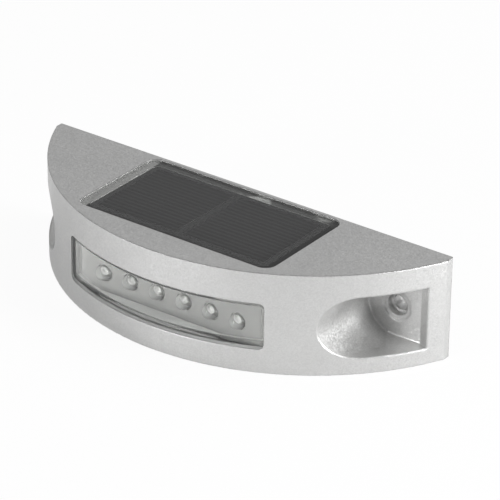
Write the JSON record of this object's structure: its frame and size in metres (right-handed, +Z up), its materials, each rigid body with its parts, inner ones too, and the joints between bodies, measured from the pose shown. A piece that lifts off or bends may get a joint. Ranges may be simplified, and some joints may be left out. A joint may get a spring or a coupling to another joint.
{
  "type": "solar driveway light",
  "caption": "Wall-mounted solar step and driveway light with a curved metal body, a solar window in the top and LEDs behind a clear front window.",
  "frame": {"origin": "middle of the underside, on the plane that the light stands on", "axes": "+X along the body's length to the right as seen from the front, +Y to the flat back, +Z up"},
  "size_m": [0.15, 0.051, 0.034],
  "materials": {
    "silver_paint": "satin metallic paint on cast aluminium",
    "clear_window": "clear and glossy",
    "clear_lens": "clear and glossy",
    "window_seal": "soft, pale",
    "solar_board": "dark, smooth",
    "solar_cell": "dark with fine pale lines",
    "reflector_grey": "smooth, light grey",
    "led_clear": "water clear",
    "tinned_metal": "tinned",
    "circuit_board": "coated board",
    "black_plastic": "moulded",
    "screw_steel": "plain steel",
    "cell_wrap": "shrink wrap with no print",
    "dark_plastic": "moulded, fine grain",
    "contact_metal": "nickel plated",
    "foam": "soft foam",
    "coil_copper": "lacquered winding",
    "capacitor_can": "sleeved can",
    "socket_plastic": "moulded",
    "wire_sheath": "flexible sheath",
    "gasket_rubber": "soft",
    "button_rubber": "soft touch"
  },
  "bodies": {
    "lamp": {"housing": "silver_paint", "solar_window": "clear_window", "solar_window_seal": "window_seal", "solar_board": "solar_board", "solar_cell": "solar_cell", "lamp_window": "clear_lens", "lamp_window_seal": "window_seal", "reflector": "reflector_grey", "reflector_screws": "screw_steel", "led_1": "led_clear", "led_2": "led_clear", "led_3": "led_clear", "led_4": "led_clear", "led_5": "led_clear", "led_6": "led_clear", "led_frames": "tinned_metal", "led_board": "circuit_board", "led_resistors": "black_plastic", "led_board_screws": "screw_steel", "battery_cell": "cell_wrap", "battery_cradle": "dark_plastic", "battery_spring": "contact_metal", "battery_plate": "contact_metal", "battery_pad": "foam", "control_board": "circuit_board", "control_chip": "black_plastic", "control_coil": "coil_copper", "control_capacitor": "capacitor_can", "wire_sockets": "socket_plastic", "control_board_screws": "screw_steel", "solar_wires": "wire_sheath", "led_wires": "wire_sheath", "battery_wires": "wire_sheath", "switch_wires": "wire_sheath", "back_cover": "dark_plastic", "back_cover_gasket": "gasket_rubber", "back_cover_screws": "screw_steel", "switch_seal": "gasket_rubber", "switch_body": "black_plastic", "switch_board": "circuit_board", "switch_screws": "screw_steel"},
    "button": {"switch_button": "button_rubber"}
  },
  "joints": [
    {"name": "button_press", "type": "slide", "parent": "lamp", "child": "button", "axis": [0, -1, 0], "range_m": [0, 0.0016], "stiffness_N_per_m": 900, "springref_m": -0.0006}
  ]
}
